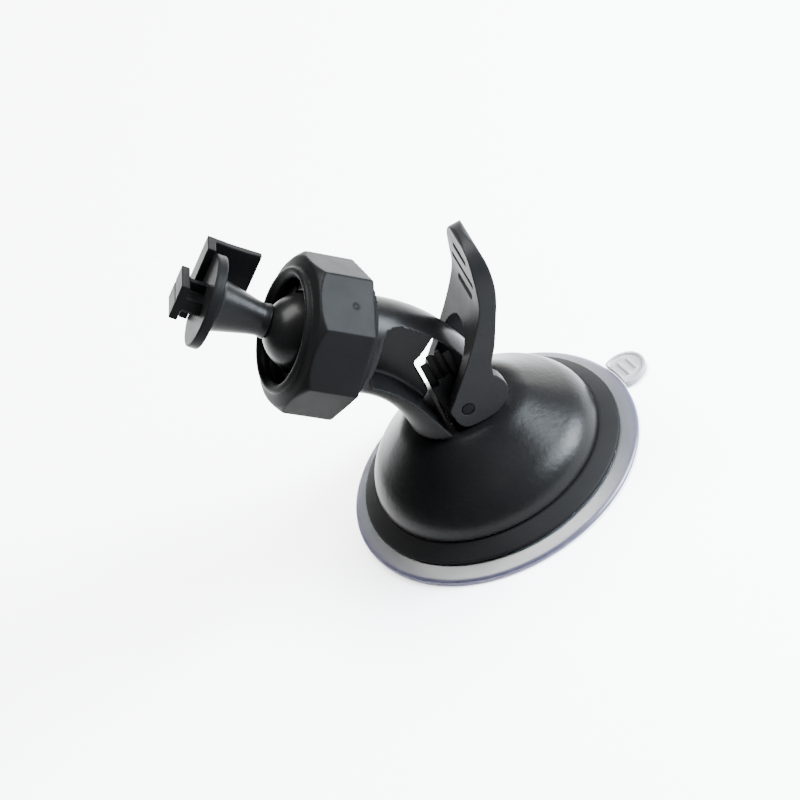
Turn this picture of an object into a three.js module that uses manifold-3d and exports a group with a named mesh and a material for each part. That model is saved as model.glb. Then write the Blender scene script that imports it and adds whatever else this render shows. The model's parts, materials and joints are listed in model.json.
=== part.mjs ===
// Windscreen suction mount for a small dash camera, with its cam lever, ball joint and camera shoe.
// Millimetres, +Z up. The origin is the centre of the suction disc's flat underside.
// The arm leans towards -X, and the lever folds down towards +X.
import * as THREE from 'three';
import Module from 'manifold-3d';
import { mergeVertices } from 'three/addons/utils/BufferGeometryUtils.js';

const wasm = await Module();
wasm.setup();

// ---- driving dimensions ----
const GAP = 0.3;
const TURN = Math.PI * 2;
const ROUND = 64;

const DISC_R = 30;
const DISC_T = 2.2;
const DISC_EDGE_T = 0.9;
const LIP_W = 3.1;

const TAB_R = 4.5;
const TAB_T = 1.2;
const TAB_REACH = 32.1;
const TAB_ANGLE = THREE.MathUtils.degToRad(9.8);

const RING_R = 26.9;
const RING_BASE = DISC_T + GAP;
const RING_EDGE_Z = 3.2;
const RING_TOP_Z = 4.9;
const RING_IN_R = 21.2;
const GROOVE_R = 23.8;

const DOME_R = 23.35;
const DOME_BASE = RING_TOP_Z + GAP;
const DOME_RISE = 12;
const DOME_WALL = 1.8;
const PAD_TOP = 18.9;
const PAD_X = 22;
const PAD_Y = 18.4;
const PAD_CORNER = 8;
const PAD_EDGE_W = 1.2;
const PAD_EDGE_H = 0.3;
const PAD_STEPS = 6;

const PIN_X = 0.9;
const PIN_Z = 23.4;
const PIN_R = 1.2;
const PIN_HALF = 8.5;
const STEM_X = 6.4;
const STEM_Y = 8;
const STEM_TOP = 29.7;
const PLATE_R = 11;
const PLATE_T = 1.5;

const CAM_BASE = PIN_Z - PAD_TOP - GAP;
const CAM_RATE = 3.2;
const CAM_TURN = THREE.MathUtils.degToRad(70);
const HUB_R = 3.1;
const LEVER_HALF_Y = PIN_HALF;
const SLOT_HALF_Y = 5.9;
const SLOT_CROWN = 31;
const BLADE_TIP = 53.8;
const BLADE_ROUND = 8.4;
const BLADE_FULL = 6;
const TIP_HALF_FLAT = 6;
const HUB_BACK = [-2.6, 25];
const HEEL = [9.6, 26];
// The lever's two faces as [x, z] points: the outer one upwards, the inner one downwards.
const OUTER_FACE = [[8.3, 27.6], [9, 30.4], [11, 33.6], [13.3, 38.4], [15.3, 42.8], [16.4, 46.6],
  [16.9, 50.5], [16.7, 53.2]];
const BLADE_END = [15.6, 54.6];
const INNER_FACE = [[14.3, 53.2], [14, 51.8], [13.4, 49.6], [12.6, 46.1], [11.5, 42.4], [8.6, 37.8],
  [4.4, 32.4], [-1.2, 26]];

const ARM_R = 9.2;
const ARM_FOOT_X = -1;
const ARM_STRAIGHT = 5;
const ARM_BEND_END_Z = 20;
const ARM_FOOT_Z = 14.9;
const POCKET_START = 3.2;
const POCKET_OVER = 7.4;
const POCKET_UNDER = 4.8;
const POCKET_CORNER = 3;
const POCKET_STEPS = 14;
const POCKET_FOOT_RISE = 3.4;
const WEB_HALF_Y = 1;
const WEB_REACH = 70;
// The web's edge round the stem, from the lever's side over the window down to the arm's foot.
const WEB_SLOPE = [4, 38.2];
const WINDOW_CREST = [-2, 33.9];
const WINDOW_TOP = [-2.9, 33.9];
const WINDOW_CORNER = [-3.8, 33.9];
const WINDOW_SIDE = [-3.8, 32.5];
const WINDOW_LOW = [-3.8, 26.6];
const WEB_BEND = [-4.4, 25];
const WEB_FOOT = [-6.2, 25];
const AXIS_RISE = THREE.MathUtils.degToRad(46);
const NUT_REAR = new THREE.Vector3(-12.4, 0, 45.2);

const NUT_CORNER_R = 15.15;
const NUT_LEN = 13.5;
const NUT_BACK = -0.6;
const NUT_BORE = 10.4;
const NUT_BORE_END = 10.6;
const COLLAR_R = 12.4;
const COLLAR_FILLET = 0.9;
const FLATS_START = 1;
const FLATS_END = 11.9;
const FLATS_R = 14;
const LIP_R = 11.8;
const LIP_BASE = 12.5;
const LIP_BORE = 9.8;
const LIP_BORE_START = 11.6;
const LIP_MOUTH_R = 10.8;
const LIP_BEVEL = 0.4;
const NUT_PHASE = THREE.MathUtils.degToRad(-56.2);

const BALL_R = 7.5;
const BALL_Z = 9;
const SEAT_R = BALL_R + GAP;
const SOCKET_TOP = 10.7;
const SLIT_W = 1.2;
const SLIT_DEPTH = 4;

const STUD_PAN = THREE.MathUtils.degToRad(-13.3);
const STUD_TILT = THREE.MathUtils.degToRad(-12.6);
const STUD_LEN = 19.9;
const NECK_R = 3;
const NECK_TOP = 8.1;
const CONE_R = 5.1;
const HEAD_ROLL = THREE.MathUtils.degToRad(192);
const FLANGE_R = 8.9;
const FLANGE_T = 2;
const FLANGE_FLAT = 5;
const RAIL_S = 7.1;
const RAIL_W = 7.7;
const RAIL_T = 1.6;
const RAIL_FRONT = 5;
const WEB_S = 2.6;
const LATCH_HALF_S = 7.7;
const LATCH_BACK_W = 8.8;
const LATCH_FRONT = 1.5;
const LATCH_TAB = 10.7;
const LATCH_T = 1.6;

const BLACK = 0x17181a;
const SMOKE = 0xc9d2de;

// ---- solids and booleans ----

// Drops normals, welds the corners and removes faces that have collapsed to a line.
function weld(geometry) {
  const bare = geometry.clone();
  bare.deleteAttribute('normal');
  bare.deleteAttribute('uv');
  const merged = mergeVertices(bare, 1e-4);
  const kept = [];
  const index = merged.index.array;
  for (let i = 0; i < index.length; i += 3) {
    const [a, b, c] = [index[i], index[i + 1], index[i + 2]];
    if (a !== b && b !== c && c !== a) kept.push(a, b, c);
  }
  merged.setIndex(kept);
  return merged;
}

function solid(geometry) {
  const closed = weld(geometry);
  const vertProperties = new Float32Array(closed.attributes.position.array);
  const triVerts = new Uint32Array(closed.index.array);
  return new wasm.Manifold(new wasm.Mesh({ numProp: 3, vertProperties, triVerts }));
}

function surface(manifold) {
  const { vertProperties, triVerts } = manifold.getMesh();
  const geometry = new THREE.BufferGeometry();
  geometry.setAttribute('position', new THREE.BufferAttribute(vertProperties, 3));
  geometry.setIndex(new THREE.BufferAttribute(triVerts, 1));
  return geometry;
}

// A profile of [radius, height] pairs turned about Z. An open profile starts and ends on the axis.
function turned(profile, segments = ROUND) {
  const points = profile.map(([r, z]) => new THREE.Vector2(r, z));
  const geometry = new THREE.LatheGeometry(points, segments);
  return geometry.rotateX(Math.PI / 2);
}

// The same, for a ring whose profile closes on itself.
function turnedRing(profile, segments = ROUND) {
  return turned([...profile, profile[0]], segments);
}

// A box from its low corner to its high corner.
function block(low, high) {
  const size = high.map((value, i) => value - low[i]);
  const middle = high.map((value, i) => (value + low[i]) / 2);
  return new THREE.BoxGeometry(...size).translate(...middle);
}

// An outline in the XZ plane, given width along Y and centred on Y = 0.
function slab(shape, width, curveSegments = 8) {
  const options = { depth: width, bevelEnabled: false, curveSegments };
  return new THREE.ExtrudeGeometry(shape, options).translate(0, 0, -width / 2).rotateX(Math.PI / 2);
}

function rod(radius, z0, z1, segments = 32) {
  return turned([[0, z0], [radius, z0], [radius, z1], [0, z1]], segments);
}

function piece(name, geometry, color, roughness, options = {}) {
  const material = new THREE.MeshStandardMaterial({ color, roughness, metalness: 0, ...options });
  const mesh = new THREE.Mesh(geometry, material);
  mesh.name = name;
  return mesh;
}

// ---- suction disc, pull tab, ring and dome ----

function makeDisc() {
  const profile = [
    [0, 0],
    [DISC_R, 0],
    [DISC_R, DISC_EDGE_T],
    [DISC_R - LIP_W, DISC_T],
    [0, DISC_T],
  ];
  const clear = { transparent: true, opacity: 0.5 };
  return piece('suction_disc', turned(profile, 72), SMOKE, 0.15, clear);
}

function makeTab() {
  const round = solid(rod(TAB_R, GAP, GAP + TAB_T, 28).translate(TAB_REACH, 0, 0));
  const rim = solid(rod(DISC_R + GAP, -1, DISC_T + 1, 72));
  const mesh = piece('pull_tab', surface(round.subtract(rim)), 0xd8dce0, 0.35);
  mesh.rotation.z = TAB_ANGLE;
  return mesh;
}

function makeRing() {
  const profile = [
    [RING_IN_R, RING_BASE],
    [RING_R, RING_BASE],
    [RING_R, RING_EDGE_Z],
    [GROOVE_R, RING_TOP_Z],
    [RING_IN_R, RING_TOP_Z],
  ];
  return piece('pressure_ring', turnedRing(profile), BLACK, 0.6);
}

// The quarter ellipse from the rim up to the axis, with the given rim radius and rise.
function ellipseProfile(radius, rise, steps) {
  const points = [];
  for (let i = 0; i <= steps; i += 1) {
    const angle = (TURN / 4) * (i / steps);
    points.push([radius * Math.cos(angle), DOME_BASE + rise * Math.sin(angle)]);
  }
  points[steps][0] = 0;
  return points;
}

// The pad's rounded rectangle, grown by an offset, as a plate that reaches down from a height.
function padPlate(offset, top) {
  const [x, y, reach] = [PAD_X / 2 - PAD_CORNER, PAD_Y / 2 - PAD_CORNER, PAD_CORNER + offset];
  const points = [];
  [[x, -y], [x, y], [-x, y], [-x, -y]].forEach(([cx, cy], corner) => {
    for (let i = 0; i <= PAD_STEPS; i += 1) {
      const angle = (TURN / 4) * (corner - 1 + i / PAD_STEPS);
      points.push(new THREE.Vector2(cx + reach * Math.cos(angle), cy + reach * Math.sin(angle)));
    }
  });
  const plate = new THREE.ExtrudeGeometry(new THREE.Shape(points), { depth: PAD_EDGE_H, bevelEnabled: false });
  return solid(plate.translate(0, 0, top - PAD_EDGE_H));
}

// The dome's outer form: the crown drawn up in one sweep to the flat pad that the lever bears on.
function domeForm() {
  const crown = solid(turned([[0, DOME_BASE], ...ellipseProfile(DOME_R, DOME_RISE, 12)]));
  const pad = padPlate(-PAD_EDGE_W, PAD_TOP).add(padPlate(0, PAD_TOP - PAD_EDGE_H));
  return crown.add(pad).hull();
}

function makeDome() {
  const inner = [[0, DOME_BASE - 1], [DOME_R - DOME_WALL, DOME_BASE - 1],
    ...ellipseProfile(DOME_R - DOME_WALL, DOME_RISE - DOME_WALL, 8)];
  const halfHole = [STEM_X / 2 + GAP, STEM_Y / 2 + GAP];
  const hole = block([-halfHole[0], -halfHole[1], 0], [halfHole[0], halfHole[1], PAD_TOP + 1]);
  const shell = domeForm().subtract(solid(turned(inner, 48)));
  return piece('dome_cover', surface(shell.subtract(solid(hole))), BLACK, 0.25);
}

// ---- lifting stem and its pin ----

// A rod along Y on the lever's axis, reaching the same way to both sides.
function crossRod(radius, halfLength) {
  return rod(radius, -halfLength, halfLength, 20).rotateX(Math.PI / 2).translate(PIN_X, 0, PIN_Z);
}

function makeStem() {
  const foot = solid(rod(PLATE_R, DISC_T + GAP, DISC_T + GAP + PLATE_T, 40));
  const half = [STEM_X / 2, STEM_Y / 2];
  const post = solid(block([-half[0], -half[1], DISC_T + GAP + PLATE_T / 2], [half[0], half[1], STEM_TOP]));
  const bore = solid(crossRod(PIN_R + GAP, STEM_Y));
  return piece('lift_stem', surface(foot.add(post).subtract(bore)), BLACK, 0.45);
}

function makePin() {
  return piece('lever_pin', crossRod(PIN_R, PIN_HALF), BLACK, 0.4);
}

// ---- cam lever ----

// The cam face: its reach below the pin grows by CAM_RATE for each radian that the lever turns.
function camPoint(turn) {
  const reach = CAM_BASE + CAM_RATE * turn;
  const [s, c] = [Math.sin(turn), Math.cos(turn)];
  return new THREE.Vector2(PIN_X + reach * s + CAM_RATE * c, PIN_Z - reach * c + CAM_RATE * s);
}

// The lever's side: flat foot, cam, heel, the blade's outer face, its tip and its hollowed inner face.
function leverShape() {
  const shape = new THREE.Shape();
  shape.moveTo(PIN_X, PIN_Z - CAM_BASE);
  for (let i = 0; i <= 8; i += 1) {
    const p = camPoint(CAM_TURN * i / 8);
    shape.lineTo(p.x, p.y);
  }
  shape.quadraticCurveTo(...HEEL, ...OUTER_FACE[0]);
  shape.splineThru(OUTER_FACE.slice(1).map(([x, z]) => new THREE.Vector2(x, z)));
  shape.quadraticCurveTo(...BLADE_END, ...INNER_FACE[0]);
  shape.splineThru(INNER_FACE.slice(1).map(([x, z]) => new THREE.Vector2(x, z)));
  shape.quadraticCurveTo(...HUB_BACK, PIN_X - HUB_R, PIN_Z);
  shape.quadraticCurveTo(PIN_X - HUB_R, PIN_Z - CAM_BASE, PIN_X, PIN_Z - CAM_BASE);
  return shape;
}

// A blank in the YZ plane, along the whole length of the lever in X.
function blank(shape) {
  const geometry = new THREE.ExtrudeGeometry(shape, { depth: 2 * DISC_R, bevelEnabled: false, curveSegments: 12 });
  return solid(geometry.rotateY(-Math.PI / 2).translate(DISC_R, 0, 0));
}

// The lever seen square on: parallel sides and a round tip.
function leverOutline() {
  const shape = new THREE.Shape();
  const shoulder = BLADE_TIP - BLADE_ROUND;
  shape.moveTo(0, -LEVER_HALF_Y);
  shape.lineTo(shoulder, -LEVER_HALF_Y);
  shape.bezierCurveTo(shoulder + BLADE_FULL, -LEVER_HALF_Y, BLADE_TIP, -TIP_HALF_FLAT, BLADE_TIP, 0);
  shape.bezierCurveTo(BLADE_TIP, TIP_HALF_FLAT, shoulder + BLADE_FULL, LEVER_HALF_Y, shoulder, LEVER_HALF_Y);
  shape.lineTo(0, LEVER_HALF_Y);
  shape.closePath();
  return shape;
}

// The gap between the two cheeks, closed above by a round crown.
function slotOutline() {
  const shape = new THREE.Shape();
  shape.moveTo(0, -SLOT_HALF_Y);
  shape.lineTo(SLOT_CROWN, -SLOT_HALF_Y);
  shape.absarc(SLOT_CROWN, 0, SLOT_HALF_Y, -TURN / 4, TURN / 4);
  shape.lineTo(0, SLOT_HALF_Y);
  shape.closePath();
  return shape;
}

function makeLever() {
  const side = solid(slab(leverShape(), LEVER_HALF_Y * 2 + 1));
  const bore = solid(crossRod(PIN_R + GAP, LEVER_HALF_Y + 2));
  const lever = side.intersect(blank(leverOutline())).subtract(blank(slotOutline())).subtract(bore);
  return piece('cam_lever', surface(lever), BLACK, 0.35);
}

// ---- arm with the ball socket at its end ----

// Unit vector along the nut and the ball socket, away from the arm.
const AXIS = new THREE.Vector3(-Math.cos(AXIS_RISE), 0, Math.sin(AXIS_RISE));

// The arm's centre line: straight behind the nut, then bending down to the dome.
function armPath() {
  const bendStart = NUT_REAR.clone().addScaledVector(AXIS, -ARM_STRAIGHT);
  const corner = NUT_REAR.clone().addScaledVector(AXIS, (ARM_FOOT_X - NUT_REAR.x) / AXIS.x);
  const bendEnd = new THREE.Vector3(ARM_FOOT_X, 0, ARM_BEND_END_Z);
  const path = new THREE.CurvePath();
  path.add(new THREE.LineCurve3(NUT_REAR, bendStart));
  path.add(new THREE.QuadraticBezierCurve3(bendStart, corner, bendEnd));
  path.add(new THREE.LineCurve3(bendEnd, new THREE.Vector3(ARM_FOOT_X, 0, ARM_FOOT_Z)));
  return path;
}

// The side pocket between the upper and the lower band. It follows the centre line down past the foot.
function pocketShape(path) {
  const place = (along, over) => {
    const u = along / path.getLength();
    const p = path.getPointAt(u);
    const t = path.getTangentAt(u);
    return new THREE.Vector2(p.x - t.z * over, p.z + t.x * over);
  };
  const upper = [];
  const lower = [];
  for (let i = 0; i <= POCKET_STEPS; i += 1) {
    const share = i / POCKET_STEPS;
    const first = POCKET_START + POCKET_CORNER;
    const along = first + (path.getLength() - first) * share;
    upper.push(place(along, POCKET_OVER));
    lower.unshift(place(along, -POCKET_UNDER + POCKET_FOOT_RISE * share ** 4));
  }
  for (let i = 1; i <= 4; i += 1) {
    const turn = (TURN / 4) * i / 4;
    const along = POCKET_START + POCKET_CORNER * (1 - Math.sin(turn));
    const inset = POCKET_CORNER * (1 - Math.cos(turn));
    upper.unshift(place(along, POCKET_OVER - inset));
    lower.push(place(along, inset - POCKET_UNDER));
  }
  return new THREE.Shape([...upper, ...lower]);
}

// The web between the two pockets, cut away round the stem and the lever's cheeks.
function webShape() {
  const shape = new THREE.Shape();
  shape.moveTo(...WEB_FOOT);
  shape.lineTo(-WEB_REACH, WEB_FOOT[1]);
  shape.lineTo(-WEB_REACH, WEB_REACH);
  shape.lineTo(WEB_REACH / 4, WEB_REACH);
  shape.lineTo(...WEB_SLOPE);
  shape.quadraticCurveTo(...WINDOW_CREST, ...WINDOW_TOP);
  shape.quadraticCurveTo(...WINDOW_CORNER, ...WINDOW_SIDE);
  shape.lineTo(...WINDOW_LOW);
  shape.quadraticCurveTo(...WEB_BEND, ...WEB_FOOT);
  shape.closePath();
  return shape;
}

function makeArm() {
  const path = armPath();
  const ring = new THREE.Shape();
  ring.absarc(0, 0, ARM_R, 0, TURN);
  const bent = solid(new THREE.ExtrudeGeometry(ring, { steps: 24, extrudePath: path, curveSegments: 20 }));
  const onAxis = (geometry) => {
    geometry.rotateY(AXIS_RISE - Math.PI / 2).translate(NUT_REAR.x, NUT_REAR.y, NUT_REAR.z);
    return solid(geometry);
  };
  const pocket = solid(slab(pocketShape(path), 4 * ARM_R)).subtract(solid(slab(webShape(), 2 * WEB_HALF_Y)));
  const below = solid(block([-DOME_R, -DOME_R, 0], [DOME_R, DOME_R, PAD_TOP + GAP]));
  const seat = onAxis(new THREE.SphereGeometry(SEAT_R, 32, 20).translate(0, 0, BALL_Z));
  let arm = bent.add(onAxis(rod(ARM_R, -1, SOCKET_TOP, 40))).subtract(pocket).subtract(below).subtract(seat);
  for (let i = 0; i < 2; i += 1) {
    const slit = block([-NUT_BORE, -SLIT_W / 2, BALL_Z - SLIT_DEPTH], [NUT_BORE, SLIT_W / 2, NUT_LEN]);
    slit.rotateZ(TURN / 8 + i * TURN / 4);
    arm = arm.subtract(onAxis(slit));
  }
  return piece('arm', surface(arm), BLACK, 0.4);
}

// ---- locking nut ----

// Eight flats with a chamfer and a lip in front, and a fillet down to a round collar behind.
function makeNut() {
  const length = NUT_LEN - NUT_BACK;
  const prism = new THREE.CylinderGeometry(NUT_CORNER_R, NUT_CORNER_R, length, 8);
  prism.rotateX(Math.PI / 2).translate(0, 0, NUT_BACK + length / 2).rotateZ(NUT_PHASE + Math.PI / 2);
  const wide = NUT_CORNER_R + 1;
  const outer = turned([
    [0, NUT_BACK],
    [COLLAR_R, NUT_BACK],
    [COLLAR_R, FLATS_START - COLLAR_FILLET],
    [COLLAR_R + COLLAR_FILLET / 3, FLATS_START - COLLAR_FILLET / 3],
    [COLLAR_R + COLLAR_FILLET, FLATS_START - COLLAR_FILLET / 9],
    [wide, FLATS_START],
    [wide, FLATS_END - (wide - FLATS_R)],
    [FLATS_R, FLATS_END],
    [LIP_R, LIP_BASE],
    [LIP_R, NUT_LEN - LIP_BEVEL],
    [LIP_R - LIP_BEVEL, NUT_LEN],
    [0, NUT_LEN],
  ]);
  const bore = turned([
    [0, NUT_BACK - 1],
    [NUT_BORE, NUT_BACK - 1],
    [NUT_BORE, NUT_BORE_END],
    [LIP_BORE, LIP_BORE_START],
    [LIP_BORE, LIP_BASE],
    [LIP_MOUTH_R, NUT_LEN + GAP],
    [0, NUT_LEN + GAP],
  ], 48);
  return piece('lock_nut', surface(solid(prism).intersect(solid(outer)).subtract(solid(bore))), BLACK, 0.4);
}

// ---- ball, stud and camera shoe ----

function makeStud() {
  const sunk = Math.sqrt(BALL_R ** 2 - NECK_R ** 2) + GAP;
  const cone = turned([[0, sunk], [NECK_R, sunk], [NECK_R, NECK_TOP],
    [CONE_R, STUD_LEN - FLANGE_T - GAP], [0, STUD_LEN - FLANGE_T - GAP]], 36);
  const dome = new THREE.SphereGeometry(BALL_R + GAP, 32, 20);
  return piece('ball_stud', surface(solid(cone).subtract(solid(dome))), BLACK, 0.4);
}

function makeShoe() {
  const flange = solid(rod(FLANGE_R, -FLANGE_T, 0, 48));
  const flat = solid(block([-FLANGE_R, -FLANGE_R, -2 * FLANGE_T], [FLANGE_R, -FLANGE_FLAT, FLANGE_T]));
  const rail = block([-RAIL_S / 2, -RAIL_W / 2, RAIL_FRONT - RAIL_T], [RAIL_S / 2, RAIL_W / 2, RAIL_FRONT]);
  const web = block([-WEB_S / 2, -RAIL_W / 2, -FLANGE_T / 2], [WEB_S / 2, RAIL_W / 2, RAIL_FRONT - RAIL_T / 2]);
  const shoe = flange.subtract(flat).add(solid(rail)).add(solid(web));
  return piece('camera_shoe', surface(shoe), BLACK, 0.45);
}

function makeLatch() {
  const foot = LATCH_FRONT - LATCH_T;
  const leg = block([-LATCH_HALF_S, -LATCH_BACK_W, foot], [LATCH_HALF_S, -FLANGE_FLAT - GAP, LATCH_FRONT]);
  const back = -LATCH_BACK_W - LATCH_T;
  const tail = LATCH_FRONT - LATCH_TAB;
  const tab = block([-LATCH_HALF_S, back, tail], [LATCH_HALF_S, -LATCH_BACK_W, LATCH_FRONT]);
  return piece('release_latch', surface(solid(leg).add(solid(tab))), BLACK, 0.45);
}

// ---- assembly ----

const group = new THREE.Group();
group.add(makeDisc(), makeTab(), makeRing(), makeDome(), makeStem(), makePin(), makeLever(), makeArm());

const barrel = new THREE.Group();
barrel.position.copy(NUT_REAR);
barrel.rotation.y = AXIS_RISE - Math.PI / 2;
barrel.add(makeNut());
group.add(barrel);

const joint = new THREE.Group();
joint.position.z = BALL_Z;
joint.rotation.set(STUD_TILT, 0, STUD_PAN, 'ZXY');
joint.add(piece('joint_ball', new THREE.SphereGeometry(BALL_R, 32, 20), BLACK, 0.3), makeStud());
barrel.add(joint);

const head = new THREE.Group();
head.position.z = STUD_LEN;
head.rotation.z = HEAD_ROLL;
head.add(makeShoe(), makeLatch());
joint.add(head);

export default group;
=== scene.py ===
import json
import math
import bmesh
import bpy
from mathutils import Matrix, Vector


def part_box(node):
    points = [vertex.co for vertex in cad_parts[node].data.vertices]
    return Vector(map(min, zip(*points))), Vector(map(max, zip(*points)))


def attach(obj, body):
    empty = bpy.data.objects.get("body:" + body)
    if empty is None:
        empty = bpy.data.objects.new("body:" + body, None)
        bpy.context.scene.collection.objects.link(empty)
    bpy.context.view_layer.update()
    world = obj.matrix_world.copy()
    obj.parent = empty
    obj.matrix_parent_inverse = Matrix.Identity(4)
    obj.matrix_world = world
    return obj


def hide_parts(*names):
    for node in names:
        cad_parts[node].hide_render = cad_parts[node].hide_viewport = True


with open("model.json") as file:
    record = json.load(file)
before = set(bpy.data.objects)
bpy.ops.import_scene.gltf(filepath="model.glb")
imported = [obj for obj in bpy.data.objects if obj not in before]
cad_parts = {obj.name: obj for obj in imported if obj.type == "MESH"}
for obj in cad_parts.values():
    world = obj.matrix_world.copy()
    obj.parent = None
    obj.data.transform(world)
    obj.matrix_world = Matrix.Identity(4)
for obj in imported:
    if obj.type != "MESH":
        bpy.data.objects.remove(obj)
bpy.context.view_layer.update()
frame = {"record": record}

# Shapes are worked out in millimetres and scaled to metres as each mesh is made.
MM = 0.001
GAP = 0.3
TURN = 2 * math.pi
X_AXIS, Y_AXIS, Z_AXIS = Vector((1, 0, 0)), Vector((0, 1, 0)), Vector((0, 0, 1))

JOINTS = {j["name"]: j for j in frame["record"]["behaviour"]["joints"]}


def box_mm(node):
    low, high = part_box(node)
    return Vector(low) / MM, Vector(high) / MM


def place_mm(joint):
    return Vector(JOINTS[joint]["pos_m"]) / MM


def axis_of(joint):
    return Vector(JOINTS[joint]["axis"]).normalized()


# ---- driving dimensions, in millimetres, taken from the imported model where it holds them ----

DISC_R = box_mm("suction_disc")[1].x
DISC_TOP = box_mm("suction_disc")[1].z
DISC_EDGE = 0.9
DISC_FOOT_ROUND = 0.35
TAB_HINGE = place_mm("tab_peel")
TAB_R = 4.5
TAB_CENTRE = 32.1

RING_R = box_mm("pressure_ring")[1].x
RING_BASE = box_mm("pressure_ring")[0].z
RING_TOP = box_mm("pressure_ring")[1].z
RING_EDGE = 3.2
RING_IN_R = 21.2
GROOVE_R = 23.8

DOME_R = box_mm("dome_cover")[1].x
DOME_BASE = box_mm("dome_cover")[0].z
PAD_TOP = box_mm("dome_cover")[1].z
DOME_RISE = 12
DOME_WALL = 1.8
PAD_HALF = (11, 9.2)
PAD_CORNER = 8
PAD_EDGE = 2.4

PIN = place_mm("lever_turn")
PIN_R = (box_mm("lever_pin")[1].x - box_mm("lever_pin")[0].x) / 2
STEM_HALF = (3.2, 4)
STEM_TOP = box_mm("lift_stem")[1].z
STEM_STEP = 1.3
STEM_STEP_X = 1.5
STEM_GROOVE_HALF = 0.2
STEM_GROOVE_DEPTH = 0.5
STEM_BORE_GAP = 0.1
LEVER_BORE_GAP = 0.08
PLATE_R = box_mm("lift_stem")[1].x
PLATE_BASE = box_mm("lift_stem")[0].z
PLATE_T = 1.5

LEVER_HALF = box_mm("cam_lever")[1].y
CAM_BASE = PIN.z - PAD_TOP - GAP
CAM_RATE = 1 / MM / frame["record"]["behaviour"]["couplings"][0]["ratio"]
CAM_TURN = math.radians(JOINTS["lever_turn"]["range_deg"][1])
HUB_R = 3.1
HUB_BACK = (PIN.x - HUB_R - 0.4, 25)
HEEL = (9.6, 26)
BLADE_END = (15.6, 54.6)
BLADE_TIP = 53.8
BLADE_SHOULDER = 45.4
BLADE_FULL = 6
TIP_HALF_FLAT = 6
SLOT_HALF = 5.9
SLOT_CROWN = 31
# The lever's two faces as (x, z) points: the outer one upwards, the inner one downwards.
OUTER_FACE = [(8.3, 27.6), (9, 30.4), (11, 33.6), (13.3, 38.4), (15.3, 42.8), (16.4, 46.6), (16.9, 50.5),
              (16.7, 53.2)]
INNER_FACE = [(14.3, 53.2), (14, 51.8), (13.4, 49.6), (12.6, 46.1), (11.5, 42.4), (8.6, 37.8), (4.4, 32.4),
              (-1.2, 26)]
# The grip grooves on the inner face: x, middle y, z and half length.
GROOVES = [(13.45, -0.1, 49.9, 3.7), (12.7, 0.1, 46.3, 6.1), (11.65, 0, 42.8, 4)]
GROOVE_HALF_W = 0.55

NUT_REAR = place_mm("nut_turn")
AXIS = axis_of("nut_turn")
BALL = place_mm("ball_pan")
BALL_Z = (BALL - NUT_REAR).length
BALL_R = box_mm("joint_ball")[1].y
BALL_START = math.radians(-89.57)

ARM_R = box_mm("arm")[1].y
ARM_FOOT_X = -1
ARM_STRAIGHT = 5
ARM_BEND_END = 20
ARM_FOOT_DEPTH = 4
POCKET_START = 3.2
POCKET_OVER = 7.4
POCKET_UNDER = 4.8
POCKET_CORNER = 3
POCKET_FOOT_RISE = 3.4
WEB_HALF = 1
WEB_TOP = (20, 70)
WEB_SLOPE = (4, 38.2)
WINDOW_CREST = (-2, 33.9)
WINDOW_TOP = (-2.9, 33.9)
WINDOW_CORNER = (-3.8, 33.9)
WINDOW_SIDE = (-3.8, 32.5)
WINDOW_LOW = (-3.8, 26.6)
WEB_BEND = (-4.4, 25)
WEB_FOOT = (-6.2, 25)
SOCKET_PAST_BALL = 1.7
SLIT_HALF = 0.5
SLIT_DEPTH = 4

NUT_CORNER_R = 15.15
NUT_PHASE = math.radians(-56.2)
NUT_BACK = -0.6
NUT_LEN = 13.5
NUT_BORE = 10.4
COLLAR_R = 12.4
FLATS_START = 1
FLATS_R = 14
FLATS_END = 11.9
LIP_R = 11.8
LIP_BASE = 12.5
LIP_BEVEL = 0.4
LIP_BORE = 9.8
GATE_Z = 4.8
GATE_R = 0.55
GATE_DEPTH = 0.18

SHOE = place_mm("shoe_roll")
STUD_AXIS = axis_of("shoe_roll")
LATCH_AXIS = axis_of("latch_press")
STUD_LEN = (SHOE - BALL).length
# The waist of the cone from the ball outwards, as (radius, distance from the ball) points.
STUD_WAIST = [(0, 6.9), (3.4, 7.05), (3.25, 7.6), (3.1, 8.4), (3.35, 10)]
STUD_BACK_R = 5.5
FLANGE_R = 8.9
FLANGE_T = 2
FLANGE_FLAT = 5
RAIL_HALF = (3.55, 3.85)
RAIL_BASE = 3.4
RAIL_FRONT = 5
RAIL_LAP = 0.8
NECK_HALF = 1.3
RIB_HALF = 0.6
RIB_INSET = 0.25
SPLIT_HALF = 0.16
SPLIT_DEPTH = 0.18
LATCH_HALF = 7.7
LATCH_FRONT = 1.5
LATCH_FOOT = -0.1
# The latch's plate seen from the side, as (across, along) points down its outer face and up its inner one.
LATCH_PLATE = [(-8.8, 1.5), (-10.4, 1.5), (-10.05, -3), (-10.2, -6.4), (-10.4, -9.2), (-9, -9.2),
               (-8.6, -6.4), (-8.5, -3)]
LATCH_LEG = 9.3
GRIP_HALF = 5.6
GRIP_FACE = 10.45
GRIP_ROOT = 9.9
GRIP_FIRST = -8.3
GRIP_PITCH = 1.3
GRIP_W = 0.5

# How finely each solid is remeshed, in millimetres.
COARSE, MEDIUM, FINE, FINEST = 0.25, 0.16, 0.13, 0.1
# Larger than the whole object, for tools that cut right through it.
FAR = 40

# ---- mesh tools ----


def add_object(name, verts, faces):
    mesh = bpy.data.meshes.new(name)
    mesh.from_pydata([Vector(v) * MM for v in verts], [], faces)
    mesh.validate()
    obj = bpy.data.objects.new(name, mesh)
    bpy.context.scene.collection.objects.link(obj)
    return obj


def outward(obj):
    """Turns every face of a closed mesh outward."""
    bm = bmesh.new()
    bm.from_mesh(obj.data)
    bmesh.ops.recalc_face_normals(bm, faces=bm.faces)
    bm.to_mesh(obj.data)
    bm.free()
    return obj


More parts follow.
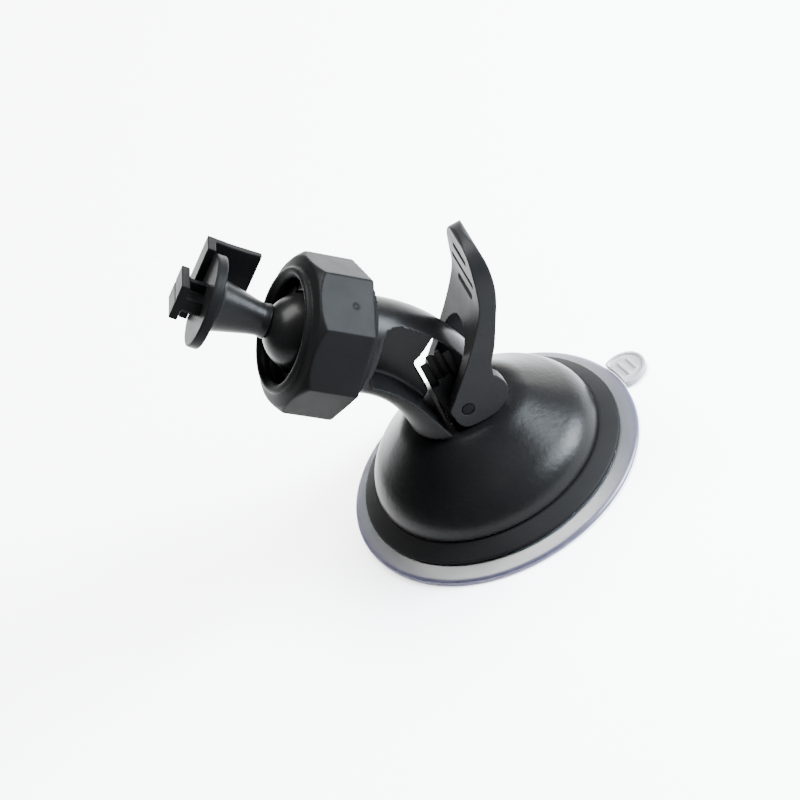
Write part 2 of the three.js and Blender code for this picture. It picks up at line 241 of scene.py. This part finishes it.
def moved(obj, matrix):
    """Applies a matrix given in millimetres to the mesh itself."""
    scaled = matrix.copy()
    scaled.translation = matrix.translation * MM
    obj.data.transform(scaled)
    return obj


def frame_at(origin, z_axis, x_axis):
    """A placing matrix with its Z along z_axis and its X as near x_axis as that allows."""
    z = z_axis.normalized()
    x = (x_axis - x_axis.dot(z) * z).normalized()
    matrix = Matrix((x, z.cross(x), z)).transposed().to_4x4()
    matrix.translation = origin
    return matrix


def circle(radius, z, segments):
    return [(radius * math.cos(TURN * i / segments), radius * math.sin(TURN * i / segments), z)
            for i in range(segments)]


def lathe(name, profile, segments=96, closed=False):
    """Turns [radius, height] pairs about Z. An open profile starts and ends on the axis."""
    verts, rings = [], []
    for r, z in profile:
        if r < 1e-6:
            rings.append([len(verts)] * segments)
            verts.append((0, 0, z))
            continue
        rings.append(list(range(len(verts), len(verts) + segments)))
        verts += circle(r, z, segments)
    faces = []
    pairs = list(zip(rings, rings[1:])) + ([(rings[-1], rings[0])] if closed else [])
    for low, high in pairs:
        for i in range(segments):
            k = (i + 1) % segments
            face = list(dict.fromkeys((low[i], low[k], high[k], high[i])))
            if len(face) > 2:
                faces.append(face)
    return outward(add_object(name, verts, faces))


def prism(name, outline, low, high, plane="XY"):
    """An outline given as (u, v) points, raised from low to high along the third axis."""
    orders = {"XY": (0, 1, 2), "XZ": (0, 2, 1), "YZ": (2, 0, 1)}
    count = len(outline)
    ends = [(u, v, low) for u, v in outline] + [(u, v, high) for u, v in outline]
    verts = [tuple(end[i] for i in orders[plane]) for end in ends]
    faces = [list(range(count)), list(range(2 * count - 1, count - 1, -1))]
    faces += [[i, (i + 1) % count, (i + 1) % count + count, i + count] for i in range(count)]
    return outward(add_object(name, verts, faces))


def brick(name, low, high):
    """A box from its low corner to its high corner."""
    outline = [(low[0], low[1]), (high[0], low[1]), (high[0], high[1]), (low[0], high[1])]
    return prism(name, outline, low[2], high[2])


def slab(name, half_x, half_y, low, high):
    """A box centred on Z, from low to high."""
    return brick(name, (-half_x, -half_y, low), (half_x, half_y, high))


def rod(name, radius, low, high, segments=64):
    return lathe(name, [(0, low), (radius, low), (radius, high), (0, high)], segments)


def bake(obj):
    """Applies the modifiers and drops them."""
    graph = bpy.context.evaluated_depsgraph_get()
    mesh = bpy.data.meshes.new_from_object(obj.evaluated_get(graph))
    obj.modifiers.clear()
    obj.data = mesh
    return obj


def combine(target, tools, operation):
    for tool in tools:
        step = target.modifiers.new("combine", "BOOLEAN")
        step.operation = operation
        step.solver = "EXACT"
        step.object = tool
    bake(target)
    for tool in tools:
        bpy.data.objects.remove(tool)
    return target


def mould(obj, voxel=0.2, rounds=6):
    """Remeshes a solid finely and eases its edges, as a moulded part's are."""
    step = obj.modifiers.new("voxels", "REMESH")
    step.mode = "VOXEL"
    step.voxel_size = voxel * MM
    ease = obj.modifiers.new("ease", "SMOOTH")
    ease.factor = 0.5
    ease.iterations = rounds
    return smooth(bake(obj))


def smooth(obj):
    obj.data.shade_smooth()
    return obj


def catmull_rom(t, p, q, r, s):
    square = 2 * p - 5 * q + 4 * r - s
    cube = 3 * q - p - 3 * r + s
    return 0.5 * (2 * q + (r - p) * t + square * t * t + cube * t ** 3)


def spline(points, steps=8):
    """A Catmull-Rom curve through the points, without the first."""
    found = []
    for i in range(len(points) - 1):
        a, b = points[max(i - 1, 0)], points[i]
        c, d = points[i + 1], points[min(i + 2, len(points) - 1)]
        for k in range(1, steps + 1):
            found.append(tuple(catmull_rom(k / steps, *values) for values in zip(a, b, c, d)))
    return found


def bend(a, b, c, steps=8):
    """A quadratic curve from a, towards b, to c, without a."""
    return [tuple((1 - t) ** 2 * p + 2 * t * (1 - t) * q + t * t * r for p, q, r in zip(a, b, c))
            for t in [k / steps for k in range(1, steps + 1)]]


def arc(centre, radius, start, end, steps=12):
    angles = [start + (end - start) * k / steps for k in range(steps + 1)]
    return [(centre[0] + radius * math.cos(a), centre[1] + radius * math.sin(a)) for a in angles]


def sphere_profile(radius, steps):
    """A whole sphere's profile, closed at both poles."""
    angles = [TURN / 4 * k / steps for k in range(1 - steps, steps)]
    return [(0, -radius)] + [(radius * math.cos(a), radius * math.sin(a)) for a in angles] + [(0, radius)]


def cross_rod(name, radius, half_length, segments):
    """A rod along Y on the lever's axis."""
    return moved(rod(name, radius, -half_length, half_length, segments), frame_at(PIN, Y_AXIS, X_AXIS))


def rounded(profile, radius, steps=4):
    """Rounds the inner corners of an open profile."""
    found = [profile[0]]
    for a, b, c in zip(profile, profile[1:], profile[2:]):
        back = Vector(a) - Vector(b)
        on = Vector(c) - Vector(b)
        reach = min(radius, back.length * 0.45, on.length * 0.45)
        start = Vector(b) + back.normalized() * reach
        end = Vector(b) + on.normalized() * reach
        found += [tuple(start)] + bend(tuple(start), b, tuple(end), steps)
    return found + [profile[-1]]


# ---- materials ----


class Nodes:
    """A Principled material with its node tree at hand."""

    def __init__(self, name):
        self.material = bpy.data.materials.new(name)
        self.material.use_nodes = True
        self.tree = self.material.node_tree
        self.shader = self.tree.nodes["Principled BSDF"]
        self.coords = self.tree.nodes.new("ShaderNodeTexCoord").outputs["Object"]

    def link(self, source, target):
        self.tree.links.new(source, target)

    def noise(self, scale, detail=4, roughness=0.55):
        node = self.tree.nodes.new("ShaderNodeTexNoise")
        node.inputs["Scale"].default_value = scale
        node.inputs["Detail"].default_value = detail
        node.inputs["Roughness"].default_value = roughness
        self.link(self.coords, node.inputs["Vector"])
        return node.outputs["Fac"]

    def ramp(self, source, stops):
        node = self.tree.nodes.new("ShaderNodeValToRGB")
        ramp = node.color_ramp
        while len(ramp.elements) < len(stops):
            ramp.elements.new(0.5)
        for element, (at, color) in zip(ramp.elements, stops):
            element.position = at
            element.color = (*color, 1)
        self.link(source, node.inputs["Fac"])
        return node.outputs["Color"]

    def between(self, source, low, high):
        node = self.tree.nodes.new("ShaderNodeMapRange")
        node.inputs["To Min"].default_value = low
        node.inputs["To Max"].default_value = high
        self.link(source, node.inputs["Value"])
        return node.outputs["Result"]

    def bump(self, height, strength, distance, under=None):
        node = self.tree.nodes.new("ShaderNodeBump")
        node.inputs["Strength"].default_value = strength
        node.inputs["Distance"].default_value = distance
        self.link(height, node.inputs["Height"])
        if under is not None:
            self.link(under, node.inputs["Normal"])
        return node.outputs["Normal"]


def black_plastic(name, shade, rough, grain, grain_scale, gloss, wave=0.0, wave_scale=700):
    """Moulded black plastic: a fine grain, a slow wave in the gloss and an uneven polish."""
    look = Nodes(name)
    dark = (shade * 0.85, shade * 0.87, shade * 0.92)
    light = (shade * 1.15, shade * 1.16, shade * 1.2)
    tone = look.ramp(look.noise(90, 3), [(0.3, dark), (0.75, light)])
    look.link(tone, look.shader.inputs["Base Color"])
    polish = look.between(look.noise(220, 5, 0.6), rough - 0.06, rough + 0.08)
    look.link(polish, look.shader.inputs["Roughness"])
    normal = look.bump(look.noise(grain_scale, 6, 0.6), grain, 0.00004)
    if wave:
        normal = look.bump(look.noise(wave_scale, 2, 0.4), wave, 0.00012, normal)
    look.link(normal, look.shader.inputs["Normal"])
    look.shader.inputs["Specular IOR Level"].default_value = gloss
    return look.material


SATIN = black_plastic("satin_black_abs", 0.003, 0.36, 0.25, 4200, 0.014)
ARM_SATIN = black_plastic("arm_black_abs", 0.003, 0.3, 0.2, 4200, 0.045, wave=0.15)
LEVER_SATIN = black_plastic("lever_black_abs", 0.006, 0.42, 0.3, 4800, 0.03)
GLOSS = black_plastic("gloss_black_dome", 0.003, 0.3, 0.12, 3600, 0.06, wave=0.3, wave_scale=900)
MATTE = black_plastic("matte_black_ring", 0.004, 0.55, 0.4, 3000, 0.03)


def clear_tpu():
    """Clear soft polyurethane, tinted darker and faintly violet towards the rim."""
    look = Nodes("clear_tpu")
    split = look.tree.nodes.new("ShaderNodeSeparateXYZ")
    look.link(look.coords, split.inputs["Vector"])
    length = look.tree.nodes.new("ShaderNodeVectorMath")
    length.operation = "LENGTH"
    flat = look.tree.nodes.new("ShaderNodeCombineXYZ")
    look.link(split.outputs["X"], flat.inputs["X"])
    look.link(split.outputs["Y"], flat.inputs["Y"])
    look.link(flat.outputs["Vector"], length.inputs[0])
    reach = look.tree.nodes.new("ShaderNodeMapRange")
    reach.inputs["From Min"].default_value = (DISC_R - 3.2) * MM
    reach.inputs["From Max"].default_value = DISC_R * MM
    look.link(length.outputs["Value"], reach.inputs["Value"])
    tint = look.ramp(reach.outputs["Result"], [(0.0, (0.18, 0.195, 0.2)), (0.7, (0.18, 0.185, 0.22)),
                                               (1.0, (0.12, 0.11, 0.26))])
    look.link(tint, look.shader.inputs["Base Color"])
    look.link(look.between(look.noise(160, 3), 0.28, 0.4), look.shader.inputs["Roughness"])
    look.link(look.bump(look.noise(500, 3), 0.12, 0.0001), look.shader.inputs["Normal"])
    look.shader.inputs["Transmission Weight"].default_value = 0.9
    look.shader.inputs["IOR"].default_value = 1.48
    return look.material


def milky_tpu():
    look = Nodes("milky_tpu")
    tint = look.ramp(look.noise(400, 3), [(0.35, (0.17, 0.175, 0.185)), (0.7, (0.21, 0.215, 0.225))])
    look.link(tint, look.shader.inputs["Base Color"])
    look.link(look.between(look.noise(300, 3), 0.22, 0.34), look.shader.inputs["Roughness"])
    look.link(look.bump(look.noise(700, 3), 0.15, 0.0001), look.shader.inputs["Normal"])
    look.shader.inputs["Transmission Weight"].default_value = 0.2
    look.shader.inputs["IOR"].default_value = 1.45
    return look.material


def finish_piece(obj, material, body, nodes):
    obj.data.materials.clear()
    obj.data.materials.append(material)
    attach(obj, body)
    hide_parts(*nodes)
    return obj


# ---- suction disc and its pull tab ----


def make_disc():
    foot, lip = DISC_FOOT_ROUND, 0.5
    profile = rounded([(0, 0), (DISC_R - foot, 0), (DISC_R, foot), (DISC_R, DISC_EDGE),
                       (DISC_R - lip, DISC_EDGE + foot), (RING_R - 0.2, DISC_TOP), (0, DISC_TOP)], 0.3)
    disc = smooth(lathe("suction_disc_clear", profile, 160))
    return finish_piece(disc, clear_tpu(), "base", ["suction_disc"])


def make_tab():
    """A round ear with a raised edge and three plain bars."""
    out = Vector((TAB_HINGE.x, TAB_HINGE.y, 0)).normalized()
    low, top = box_mm("pull_tab")[0].z, box_mm("pull_tab")[1].z
    sunk, edge, slope = 0.35, 0.5, 0.3
    tab = lathe("pull_tab_milky", [(0, low), (TAB_R, low), (TAB_R, top), (TAB_R - edge, top),
                                   (TAB_R - edge - slope, top - sunk), (0, top - sunk)], 96)
    pitch, half_w = 1.9, 0.28
    bars = []
    for k, half in enumerate((1.9, 2.3, 1.9)):
        x = (k - 1) * pitch
        bars.append(brick("bar", (x - half_w, -half, top - edge), (x + half_w, half, top)))
    combine(tab, bars, "UNION")
    moved(tab, frame_at(out * TAB_CENTRE, Z_AXIS, out))
    combine(tab, [rod("rim", DISC_R + GAP, -2, 6, 160)], "DIFFERENCE")
    mould(tab, FINEST, 3)
    return finish_piece(tab, milky_tpu(), "tab", ["pull_tab"])


# ---- pressure ring and dome ----


def make_ring():
    profile = rounded([(RING_IN_R, RING_BASE), (RING_R, RING_BASE), (RING_R, RING_EDGE), (GROOVE_R, RING_TOP),
                       (RING_IN_R, RING_TOP)], 0.35)
    ring = smooth(lathe("pressure_ring_black", profile, 192, closed=True))
    return finish_piece(ring, MATTE, "base", ["pressure_ring"])


def pad_reach(angle):
    """How far the pad's rounded outline lies from the axis in a direction."""
    inner = (PAD_HALF[0] - PAD_CORNER, PAD_HALF[1] - PAD_CORNER)
    c, s = abs(math.cos(angle)), abs(math.sin(angle))
    if c * inner[1] > s * PAD_HALF[0]:
        return PAD_HALF[0] / c
    if s * inner[0] > c * PAD_HALF[1]:
        return PAD_HALF[1] / s
    along = c * inner[0] + s * inner[1]
    return along + math.sqrt(along ** 2 - inner[0] ** 2 - inner[1] ** 2 + PAD_CORNER ** 2)


def dome_height(r, angle):
    """The crown, drawn up in one sweep along its tangent to the flat pad."""
    top, edge = PAD_TOP - DOME_BASE, pad_reach(angle)
    u, v = edge / DOME_R, top / DOME_RISE
    touch = math.atan2(u, v) + math.acos(1 / math.hypot(u, v))
    touch_r, touch_z = DOME_R * math.sin(touch), DOME_RISE * math.cos(touch)
    if r >= touch_r:
        return DOME_BASE + DOME_RISE * math.sqrt(max(1 - (r / DOME_R) ** 2, 0))
    slope = (top - touch_z) / (touch_r - edge)
    past = r - edge
    if past <= -PAD_EDGE:
        return PAD_TOP
    if past < PAD_EDGE:
        return PAD_TOP - slope * (past + PAD_EDGE) ** 2 / (4 * PAD_EDGE)
    return PAD_TOP - slope * past


def make_dome():
    """Rings of points over the outside, then over the hollow inside, joined at the rim."""
    segments, rings, inner_rings = 200, 110, 24
    angles = [TURN * j / segments for j in range(segments)]
    verts, loops = [(0, 0, PAD_TOP)], []
    for i in range(1, rings + 1):
        r = DOME_R * math.sin(TURN / 4 * (i / rings))
        loops.append(list(range(len(verts), len(verts) + segments)))
        verts += [(r * math.cos(a), r * math.sin(a), dome_height(r, a)) for a in angles]
    for i in range(inner_rings):
        rise = TURN / 4 * i / inner_rings
        loops.append(list(range(len(verts), len(verts) + segments)))
        verts += circle((DOME_R - DOME_WALL) * math.cos(rise),
                        DOME_BASE + (DOME_RISE - DOME_WALL) * math.sin(rise), segments)
    following = [(j, (j + 1) % segments) for j in range(segments)]
    faces = [[0, loops[0][j], loops[0][k]] for j, k in following]
    for low, high in zip(loops, loops[1:]):
        faces += [[low[j], high[j], high[k], low[k]] for j, k in following]
    faces.append(loops[-1])
    dome = outward(add_object("dome_cover_gloss", verts, faces))
    combine(dome, [slab("hole", STEM_HALF[0] + GAP, STEM_HALF[1] + GAP, PLATE_BASE, FAR)], "DIFFERENCE")
    smooth(dome)
    return finish_piece(dome, GLOSS, "base", ["dome_cover"])


# ---- stem and pin ----


def make_stem():
    stem = slab("lift_stem_post", *STEM_HALF, PLATE_BASE + PLATE_T / 3, STEM_TOP)
    combine(stem, [rod("plate", PLATE_R, PLATE_BASE, PLATE_BASE + PLATE_T, 96)], "UNION")
    shoulder, wide = STEM_TOP - STEM_STEP, 2 * STEM_HALF[1]
    cuts = [brick("step", (-FAR, -wide, shoulder), (-STEM_STEP_X, wide, FAR)),
            brick("step", (STEM_STEP_X, -wide, shoulder), (FAR, wide, FAR)),
            slab("groove", STEM_GROOVE_HALF, wide, STEM_TOP - STEM_GROOVE_DEPTH, FAR),
            cross_rod("bore", PIN_R + STEM_BORE_GAP, wide, 32)]
    combine(stem, cuts, "DIFFERENCE")
    mould(stem, MEDIUM, 4)
    return finish_piece(stem, SATIN, "stem", ["lift_stem"])


def make_pin():
    half = box_mm("lever_pin")[1].y
    profile = rounded([(0, -half), (PIN_R, -half), (PIN_R, half), (0, half)], 0.3)
    pin = smooth(lathe("lever_pin_black", profile, 48))
    moved(pin, frame_at(PIN, Y_AXIS, X_AXIS))
    return finish_piece(pin, SATIN, "stem", ["lever_pin"])


# ---- cam lever ----


def cam_point(turn):
    """A point of the cam, whose reach below the pin grows evenly as the lever turns."""
    reach = CAM_BASE + CAM_RATE * turn
    s, c = math.sin(turn), math.cos(turn)
    return (PIN.x + reach * s + CAM_RATE * c, PIN.z - reach * c + CAM_RATE * s)


def lever_side():
    """Flat foot, cam, heel, outer face, tip, inner face and hub, as (x, z) points."""
    points = [(PIN.x, PIN.z - CAM_BASE)]
    points += [cam_point(CAM_TURN * i / 24) for i in range(25)]
    points += bend(points[-1], HEEL, OUTER_FACE[0])
    points += spline(OUTER_FACE)
    points += bend(OUTER_FACE[-1], BLADE_END, INNER_FACE[0])
    points += spline(INNER_FACE)
    points += bend(INNER_FACE[-1], HUB_BACK, (PIN.x - HUB_R, PIN.z))
    points += bend(points[-1], (PIN.x - HUB_R, PIN.z - CAM_BASE), points[0])[:-1]
    return points


def lever_front():
    """The lever seen square on, as (y, z) points: parallel sides and a round tip."""
    corners = [(-LEVER_HALF, BLADE_SHOULDER), (-LEVER_HALF, BLADE_SHOULDER + BLADE_FULL),
               (-TIP_HALF_FLAT, BLADE_TIP), (0, BLADE_TIP)]
    side = [(-LEVER_HALF, 0), corners[0]]
    for k in range(1, 25):
        t = k / 24
        weights = ((1 - t) ** 3, 3 * t * (1 - t) ** 2, 3 * t * t * (1 - t), t ** 3)
        side.append(tuple(sum(w * corner[i] for w, corner in zip(weights, corners)) for i in range(2)))
    return side + [(-y, z) for y, z in reversed(side[:-1])]


def make_lever():
    lever = prism("cam_lever_black", lever_side(), -LEVER_HALF - 1, LEVER_HALF + 1, "XZ")
    combine(lever, [prism("front", lever_front(), -FAR, FAR, "YZ")], "INTERSECT")
    slot = [(-SLOT_HALF, 0)] + arc((0, SLOT_CROWN), SLOT_HALF, TURN / 2, 0, 24) + [(SLOT_HALF, 0)]
    cuts = [prism("slot", slot, -FAR, FAR, "YZ"), cross_rod("bore", PIN_R + LEVER_BORE_GAP, FAR, 48)]
    for x, y, z, half in GROOVES:
        profile = rounded([(0, -half), (GROOVE_HALF_W, -half), (GROOVE_HALF_W, half), (0, half)], 0.5, 6)
        cuts.append(moved(lathe("groove", profile, 32), frame_at(Vector((x, y, z)), Y_AXIS, X_AXIS)))
    combine(lever, cuts, "DIFFERENCE")
    mould(lever, MEDIUM, 5)
    return finish_piece(lever, LEVER_SATIN, "lever", ["cam_lever"])


# ---- arm ----


class ArmLine:
    """The arm's centre line in the XZ plane: straight, then a bend, then straight down."""

    def __init__(self):
        start = NUT_REAR - AXIS * ARM_STRAIGHT
        corner = NUT_REAR + AXIS * ((ARM_FOOT_X - NUT_REAR.x) / AXIS.x)
        curve = bend((start.x, start.z), (corner.x, corner.z), (ARM_FOOT_X, ARM_BEND_END), 60)
        foot = (ARM_FOOT_X, PAD_TOP - ARM_FOOT_DEPTH)
        self.points = [(NUT_REAR.x, NUT_REAR.z), (start.x, start.z)] + curve + [foot]
        self.lengths = [0]
        for a, b in zip(self.points, self.points[1:]):
            self.lengths.append(self.lengths[-1] + math.dist(a, b))

    def at(self, along):
        """The point at that length and the direction there."""
        i = next((k for k, total in enumerate(self.lengths[1:]) if total >= along), len(self.lengths) - 2)
        a, b = Vector(self.points[i]), Vector(self.points[i + 1])
        share = (along - self.lengths[i]) / (self.lengths[i + 1] - self.lengths[i])
        return a.lerp(b, share), (b - a).normalized()

    def beside(self, along, over):
        """A point off to the side of the line, over it towards the lever."""
        p, t = self.at(along)
        return (p.x - t.y * over, p.y + t.x * over)


def arm_tube(line):
    """The round bar along the centre line, closed at both ends."""
    sides, stations = 96, 80
    verts = []
    for i in range(stations + 1):
        along = line.lengths[-1] * i / stations
        p, t = line.at(min(along, line.lengths[-1] - 1e-6))
        for j in range(sides):
            angle = TURN * j / sides
            over, y = ARM_R * math.cos(angle), ARM_R * math.sin(angle)
            verts.append((p.x - t.y * over, y, p.y + t.x * over))
    faces = []
    for i in range(stations):
        low, high = i * sides, (i + 1) * sides
        following = [(j, (j + 1) % sides) for j in range(sides)]
        faces += [[low + j, low + k, high + k, high + j] for j, k in following]
    faces += [list(range(sides)), [stations * sides + j for j in range(sides)]]
    return outward(add_object("arm_black", verts, faces))


def pocket_outline(line):
    """The side pocket, between the upper and the lower band of the arm."""
    first, whole = POCKET_START + POCKET_CORNER, line.lengths[-1]
    upper, lower = [], []
    for i in range(31):
        share = i / 30
        along = min(first + (whole - first) * share, whole - 1e-6)
        upper.append(line.beside(along, POCKET_OVER))
        lower.insert(0, line.beside(along, -POCKET_UNDER + POCKET_FOOT_RISE * share ** 4))
    for i in range(1, 9):
        turn = TURN / 4 * i / 8
        along = POCKET_START + POCKET_CORNER * (1 - math.sin(turn))
        inset = POCKET_CORNER * (1 - math.cos(turn))
        upper.insert(0, line.beside(along, POCKET_OVER - inset))
        lower.append(line.beside(along, inset - POCKET_UNDER))
    return upper + lower


def web_outline():
    """The web between the two pockets, cut away round the stem and the lever's cheeks."""
    points = [(-FAR, WEB_FOOT[1]), (-FAR, WEB_TOP[1]), WEB_TOP, WEB_SLOPE]
    points += bend(WEB_SLOPE, WINDOW_CREST, WINDOW_TOP)
    points += bend(WINDOW_TOP, WINDOW_CORNER, WINDOW_SIDE)
    return points + [WINDOW_LOW] + bend(WINDOW_LOW, WEB_BEND, WEB_FOOT)


def make_arm():
    line = ArmLine()
    on_axis = frame_at(NUT_REAR, AXIS, Y_AXIS)
    arm = arm_tube(line)
    combine(arm, [moved(rod("socket", ARM_R, -1, BALL_Z + SOCKET_PAST_BALL, 96), on_axis)], "UNION")
    pocket = prism("pocket", pocket_outline(line), -2 * ARM_R, 2 * ARM_R, "XZ")
    combine(pocket, [prism("web", web_outline(), -WEB_HALF, WEB_HALF, "XZ")], "DIFFERENCE")
    seat = moved(lathe("seat", sphere_profile(BALL_R + GAP, 16), 96), frame_at(BALL, AXIS, Y_AXIS))
    slits = []
    for i in range(2):
        slit = slab("slit", 1.3 * ARM_R, SLIT_HALF, BALL_Z - SLIT_DEPTH, BALL_Z + FAR)
        slits.append(moved(slit, on_axis @ Matrix.Rotation(TURN / 8 + TURN / 4 * i, 4, "Z")))
    below = slab("below", DISC_R, DISC_R, 0, PAD_TOP + GAP)
    combine(arm, [pocket, below, seat] + slits, "DIFFERENCE")
    mould(arm, COARSE, 6)
    return finish_piece(arm, ARM_SATIN, "base", ["arm"])


# ---- lock nut ----


def make_nut():
    """Eight flats with a turned chamfer and lip in front, a round collar behind and a gate mark."""
    corners = arc((0, 0), NUT_CORNER_R, NUT_PHASE, NUT_PHASE + TURN * 7 / 8, 7)
    nut = prism("lock_nut_black", corners, NUT_BACK, NUT_LEN)
    wide = NUT_CORNER_R + 1
    fillet = [(COLLAR_R, 0.1), (COLLAR_R + 0.3, 0.6), (COLLAR_R + 0.9, 0.9)]
    turned = lathe("turned", [(0, NUT_BACK), (COLLAR_R, NUT_BACK)] + fillet + [
        (wide, FLATS_START), (wide, FLATS_END - (wide - FLATS_R)), (FLATS_R, FLATS_END), (LIP_R, LIP_BASE),
        (LIP_R, NUT_LEN - LIP_BEVEL), (LIP_R - LIP_BEVEL, NUT_LEN), (0, NUT_LEN)], 192)
    combine(nut, [turned], "INTERSECT")
    mouth = NUT_LEN + 0.2
    bore = lathe("bore", [(0, -2), (NUT_BORE, -2), (NUT_BORE, LIP_BASE - 1.9), (LIP_BORE, LIP_BASE - 0.9),
                          (LIP_BORE, LIP_BASE), (LIP_BORE + 1, mouth), (0, mouth)], 192)
    facing = Vector((math.cos(NUT_PHASE + TURN / 16), math.sin(NUT_PHASE + TURN / 16), 0))
    gate_at = facing * (NUT_CORNER_R * math.cos(TURN / 16)) + Z_AXIS * GATE_Z
    gate = lathe("gate", [(0, -GATE_DEPTH), (GATE_R, -GATE_DEPTH), (GATE_R + 0.25, 0.5), (0, 0.5)], 48)
    moved(gate, frame_at(gate_at, facing, Z_AXIS))
    combine(nut, [bore, gate], "DIFFERENCE")
    moved(nut, frame_at(NUT_REAR, AXIS, X_AXIS + Z_AXIS))
    mould(nut, COARSE, 4)
    return finish_piece(nut, SATIN, "nut", ["lock_nut"])


# ---- ball, stud, shoe and latch ----


def make_ball():
    """The ball, with the tiny flat that the mould leaves at its back."""
    points = arc((0, 0), BALL_R, BALL_START, TURN / 4, 48)
    profile = [(0, points[0][1])] + points[:-1] + [(0, BALL_R)]
    ball = smooth(lathe("joint_ball_black", profile, 128))
    moved(ball, frame_at(BALL, STUD_AXIS, LATCH_AXIS))
    return finish_piece(ball, ARM_SATIN, "ball", ["joint_ball"])


def make_stud():
    """The waisted cone behind the shoe, hollowed to sit on the ball."""
    back = STUD_LEN - FLANGE_T - GAP
    flare = [(STUD_BACK_R - 0.5, back - 0.7), (STUD_BACK_R, back), (0, back)]
    stud = lathe("ball_stud_cone", rounded(STUD_WAIST + flare, 0.5), 96)
    combine(stud, [lathe("hollow", sphere_profile(BALL_R + 0.06, 24), 128)], "DIFFERENCE")
    smooth(stud)
    moved(stud, frame_at(BALL, STUD_AXIS, LATCH_AXIS))
    return finish_piece(stud, ARM_SATIN, "stud", ["ball_stud"])


def make_shoe():
    """A round flange with one flat side, and a T rail in front of it with a split line."""
    profile = rounded([(0, -FLANGE_T), (FLANGE_R, -FLANGE_T), (FLANGE_R, 0), (0, 0)], 0.35)
    flange = lathe("camera_shoe_black", profile, 128)
    combine(flange, [brick("flat", (-FAR, -FAR, -FAR), (FAR, -FLANGE_FLAT, FAR))], "DIFFERENCE")
    inside = RAIL_BASE + RAIL_LAP
    adds = [slab("rail", *RAIL_HALF, RAIL_BASE, RAIL_FRONT),
            slab("neck", NECK_HALF, RAIL_HALF[1], -1, inside),
            slab("rib", RAIL_HALF[0] - RIB_INSET, RIB_HALF, -1, inside)]
    combine(flange, adds, "UNION")
    combine(flange, [slab("line", SPLIT_HALF, 5, RAIL_FRONT - SPLIT_DEPTH, FAR)], "DIFFERENCE")
    mould(flange, FINE, 4)
    moved(flange, frame_at(SHOE, STUD_AXIS, LATCH_AXIS))
    return finish_piece(flange, SATIN, "shoe", ["camera_shoe"])


def make_latch():
    """A plate on a short leg beside the flange, with three low grip bars."""
    leg = brick("release_latch_black", (-LATCH_HALF, -LATCH_LEG, LATCH_FOOT),
                (LATCH_HALF, -FLANGE_FLAT - GAP, LATCH_FRONT))
    adds = [prism("plate", LATCH_PLATE, -LATCH_HALF, LATCH_HALF, "YZ")]
    for k in range(3):
        z = GRIP_FIRST + GRIP_PITCH * k
        adds.append(brick("grip", (-GRIP_HALF, -GRIP_FACE, z), (GRIP_HALF, -GRIP_ROOT, z + GRIP_W)))
    combine(leg, adds, "UNION")
    mould(leg, FINE, 4)
    moved(leg, frame_at(SHOE, STUD_AXIS, LATCH_AXIS))
    return finish_piece(leg, SATIN, "latch", ["release_latch"])


# ---- floor, light and camera ----


def add_floor():
    half, sunk = 3000, 0.05
    floor = add_object("floor", [(-half, -half, -sunk), (half, -half, -sunk), (half, half, -sunk),
                                 (-half, half, -sunk)], [[0, 1, 2, 3]])
    look = Nodes("pale_floor")
    tone = look.ramp(look.noise(3, 2), [(0.3, (0.93, 0.93, 0.93)), (0.8, (0.95, 0.95, 0.95))])
    look.link(tone, look.shader.inputs["Base Color"])
    look.shader.inputs["Roughness"].default_value = 0.9
    floor.data.materials.append(look.material)


def add_softbox(name, place, target, size, power, color):
    light = bpy.data.lights.new(name, "AREA")
    light.shape = "RECTANGLE"
    light.size, light.size_y = size
    light.energy = power
    light.color = color
    obj = bpy.data.objects.new(name, light)
    bpy.context.scene.collection.objects.link(obj)
    obj.location = place
    obj.rotation_euler = (Vector(place) - Vector(target)).to_track_quat("Z", "Y").to_euler()


def add_light():
    world = bpy.data.worlds.new("studio")
    world.use_nodes = True
    world.node_tree.nodes["Background"].inputs["Color"].default_value = (1, 1, 1, 1)
    world.node_tree.nodes["Background"].inputs["Strength"].default_value = 0.3
    bpy.context.scene.world = world
    middle, daylight = (-0.005, 0, 0.025), (0.84, 0.92, 1.0)
    add_softbox("overhead", (-0.05, 0.3, 0.9), middle, (0.7, 0.5), 60, (1.0, 1.0, 0.98))
    add_softbox("rear_card", (0.35, 0.8, 0.1), middle, (1.0, 0.3), 7, (1.0, 0.98, 0.9))
    add_softbox("window", (0.75, -0.1, 0.29), middle, (0.4, 0.3), 52, daylight)
    add_softbox("front_window", (0.52, -0.2, 0.4), middle, (0.36, 0.3), 21, daylight)


def add_camera():
    azimuth, elevation, roll = (math.radians(v) for v in (2.414, 38.982, -30.833))
    distance, aim = 0.43885, Vector((-0.00967, 0.00202, 0.025))
    level_part = math.cos(elevation)
    towards = Vector((math.sin(azimuth) * level_part, -math.cos(azimuth) * level_part, math.sin(elevation)))
    level = Z_AXIS.cross(towards).normalized()
    up = towards.cross(level)
    right = level * math.cos(roll) + up * math.sin(roll)
    data = bpy.data.cameras.new("camera")
    data.lens = 103.07
    data.sensor_width = 36
    data.clip_start = 0.01
    camera = bpy.data.objects.new("camera", data)
    turn = Matrix((right, towards.cross(right), towards)).transposed().to_4x4()
    camera.matrix_world = Matrix.Translation(aim + towards * distance) @ turn
    bpy.context.scene.collection.objects.link(camera)
    bpy.context.scene.camera = camera


add_camera()
add_light()
add_floor()
for make in (make_disc, make_tab, make_ring, make_dome, make_stem, make_pin, make_lever, make_arm, make_nut,
             make_ball, make_stud, make_shoe, make_latch):
    make()
